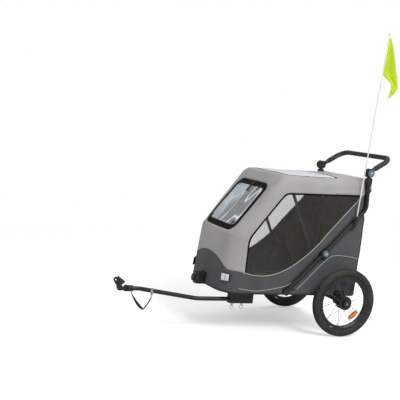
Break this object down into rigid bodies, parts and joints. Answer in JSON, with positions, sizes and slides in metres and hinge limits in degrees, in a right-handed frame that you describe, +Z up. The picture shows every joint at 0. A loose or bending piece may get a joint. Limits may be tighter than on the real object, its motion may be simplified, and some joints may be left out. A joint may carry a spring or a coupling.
{
  "type": "dog bike trailer",
  "caption": "Folding two-wheeled dog trailer for a bicycle, with a soft cabin, clear windows, push handle, side tow bar and safety flag.",
  "frame": {"origin": "on the floor, under the middle of the part's bounding box", "axes": "+X forwards along the tow bar to the bicycle, +Y to the trailer's left, +Z up"},
  "size_m": [1.5894, 0.7626, 1.7586],
  "materials": {
    "black_tube": "satin black powder coat",
    "black_plastic": "fine moulded grain",
    "tyre_rubber": "matt black rubber",
    "rim_black": "satin black",
    "wire_steel": "bright drawn wire",
    "steel": "zinc-plated",
    "foam": "soft closed-cell foam",
    "button_blue": "semi-gloss",
    "grey_cloth": "coated plain weave",
    "dark_cloth": "coated plain weave",
    "screen": "open knitted mesh",
    "clear_film": "clear soft film",
    "flag_yellow": "thin fluorescent cloth",
    "pole_white": "glass-fibre rod",
    "lens_orange": "prismatic lens",
    "lens_white": "prismatic lens",
    "lens_red": "prismatic lens",
    "webbing": "woven strap",
    "board": "smooth sheet",
    "mat_cloth": "quilted mat"
  },
  "bodies": {
    "chassis": {"base_front_tube": "black_tube", "base_rear_tube": "black_tube", "cross_tubes": "black_tube", "floor_board": "board", "floor_mat": "mat_cloth", "side_trusses": "black_tube", "fold_hinge_seats": "black_plastic", "axle_blocks": "black_plastic", "axles": "steel", "bow_brackets": "black_plastic", "tow_receiver": "black_plastic", "tow_bar": "black_tube", "front_socket": "black_plastic", "hoop_brackets": "black_plastic", "front_reflectors": "lens_white", "rear_reflectors": "lens_red", "lower_panel": "dark_cloth", "canopy": "grey_cloth", "rear_panel": "dark_cloth", "side_screens": "screen", "hitch_fork": "black_plastic", "safety_strap": "webbing", "strap_eye": "steel"},
    "upper_frame": {"upper_frame": "black_tube", "fold_hinge_caps": "black_plastic", "handle_hinge_caps": "black_plastic", "flag_socket": "black_plastic"},
    "handle": {"handle_bar": "black_tube", "handle_grip": "foam", "handle_hinge_seats": "black_plastic"},
    "roof_bow": {"roof_bow": "black_tube"},
    "front_hoop": {"front_hoop": "black_tube"},
    "hitch_knuckle": {"hitch_knuckle": "black_tube"},
    "hitch_head": {"hitch_head": "black_tube"},
    "front_window": {"front_window": "clear_film"},
    "roof_window": {"roof_window": "clear_film"},
    "rear_door": {"rear_door": "dark_cloth"},
    "flag": {"flag_pole": "pole_white", "flag_cloth": "flag_yellow"},
    "socket_knob": {"socket_knob": "black_plastic"},
    "front_tow_pin": {"front_tow_pin": "steel"},
    "rear_tow_pin": {"rear_tow_pin": "steel"},
    "left_wheel": {"left_tyre": "tyre_rubber", "left_rim": "rim_black", "left_spokes": "wire_steel", "left_hub": "black_plastic", "left_bearings": "steel", "left_wheel_reflector": "lens_orange"},
    "left_axle_button": {"left_axle_button": "steel"},
    "left_fold_button": {"left_fold_button": "button_blue"},
    "left_handle_button": {"left_handle_button": "button_blue"},
    "right_wheel": {"right_tyre": "tyre_rubber", "right_rim": "rim_black", "right_spokes": "wire_steel", "right_hub": "black_plastic", "right_bearings": "steel", "right_wheel_reflector": "lens_orange"},
    "right_axle_button": {"right_axle_button": "steel"},
    "right_fold_button": {"right_fold_button": "button_blue"},
    "right_handle_button": {"right_handle_button": "button_blue"}
  },
  "joints": [
    {"name": "left_wheel_spin", "type": "hinge", "parent": "chassis", "child": "left_wheel", "pos_m": [-0.52128, 0.34, 0.2], "axis": [0, 1, 0], "continuous": true},
    {"name": "left_axle_release", "type": "slide", "parent": "chassis", "child": "left_axle_button", "axis": [0, -1, 0], "range_m": [0, 0.003], "stiffness_N_per_m": 900},
    {"name": "left_fold_release", "type": "slide", "parent": "upper_frame", "child": "left_fold_button", "axis": [0, -1, 0], "range_m": [0, 0.003], "stiffness_N_per_m": 1500},
    {"name": "left_handle_release", "type": "slide", "parent": "upper_frame", "child": "left_handle_button", "axis": [0, -1, 0], "range_m": [0, 0.003], "stiffness_N_per_m": 1500},
    {"name": "right_wheel_spin", "type": "hinge", "parent": "chassis", "child": "right_wheel", "pos_m": [-0.52128, -0.34, 0.2], "axis": [0, 1, 0], "continuous": true},
    {"name": "right_axle_release", "type": "slide", "parent": "chassis", "child": "right_axle_button", "axis": [0, 1, 0], "range_m": [0, 0.003], "stiffness_N_per_m": 900},
    {"name": "right_fold_release", "type": "slide", "parent": "upper_frame", "child": "right_fold_button", "axis": [0, 1, 0], "range_m": [0, 0.003], "stiffness_N_per_m": 1500},
    {"name": "right_handle_release", "type": "slide", "parent": "upper_frame", "child": "right_handle_button", "axis": [0, 1, 0], "range_m": [0, 0.003], "stiffness_N_per_m": 1500},
    {"name": "frame_fold", "type": "hinge", "parent": "chassis", "child": "upper_frame", "pos_m": [-0.39528, 0, 0.47], "axis": [0, 1, 0], "range_deg": [0, 115], "deforming": ["canopy", "lower_panel", "rear_panel", "side_screens", "front_window", "roof_window", "rear_door"]},
    {"name": "roof_bow_fold", "type": "hinge", "parent": "chassis", "child": "roof_bow", "pos_m": [-0.35128, 0, 0.424], "axis": [0, 1, 0], "range_deg": [0, 60.8]},
    {"name": "front_hoop_fold", "type": "hinge", "parent": "chassis", "child": "front_hoop", "pos_m": [0.16672, 0, 0.266], "axis": [0, -1, 0], "range_deg": [0, 78]},
    {"name": "handle_tilt", "type": "hinge", "parent": "upper_frame", "child": "handle", "pos_m": [-0.63128, 0, 0.951], "axis": [0, 1, 0], "range_deg": [-55, 60]},
    {"name": "hitch_yaw", "type": "hinge", "parent": "chassis", "child": "hitch_knuckle", "pos_m": [0.71672, 0.1, 0.205], "axis": [0, 0, 1], "range_deg": [-50, 50]},
    {"name": "hitch_pitch", "type": "hinge", "parent": "hitch_knuckle", "child": "hitch_head", "pos_m": [0.74272, 0.1, 0.205], "axis": [0, 1, 0], "range_deg": [-30, 30]},
    {"name": "front_window_flap", "type": "hinge", "parent": "chassis", "child": "front_window", "pos_m": [-0.04288, 0, 0.8374], "axis": [0, 1, 0], "range_deg": [-140, 0]},
    {"name": "roof_window_flap", "type": "hinge", "parent": "chassis", "child": "roof_window", "pos_m": [-0.46468, 0, 0.898], "axis": [0, 1, 0], "range_deg": [-100, 0]},
    {"name": "rear_door_flap", "type": "hinge", "parent": "chassis", "child": "rear_door", "pos_m": [-0.66348, 0, 0.8354], "axis": [0, -1, 0], "range_deg": [-75, 0]},
    {"name": "flag_lift", "type": "slide", "parent": "upper_frame", "child": "flag", "axis": [-0.06, 0, 0.9982], "range_m": [0, 0.06]},
    {"name": "socket_knob_turn", "type": "hinge", "parent": "chassis", "child": "socket_knob", "pos_m": [0.27902, 0, 0.253], "axis": [1, 0, 0], "range_deg": [0, 180]},
    {"name": "front_tow_pin_pull", "type": "slide", "parent": "chassis", "child": "front_tow_pin", "axis": [0, 0, -1], "range_m": [0, 0.06]},
    {"name": "rear_tow_pin_pull", "type": "slide", "parent": "chassis", "child": "rear_tow_pin", "axis": [0, 0, -1], "range_m": [0, 0.06]}
  ],
  "couplings": [
    {"joint": "roof_bow_fold", "follows": "frame_fold", "ratio": 0.5287},
    {"joint": "front_hoop_fold", "follows": "frame_fold", "ratio": 0.67826}
  ]
}
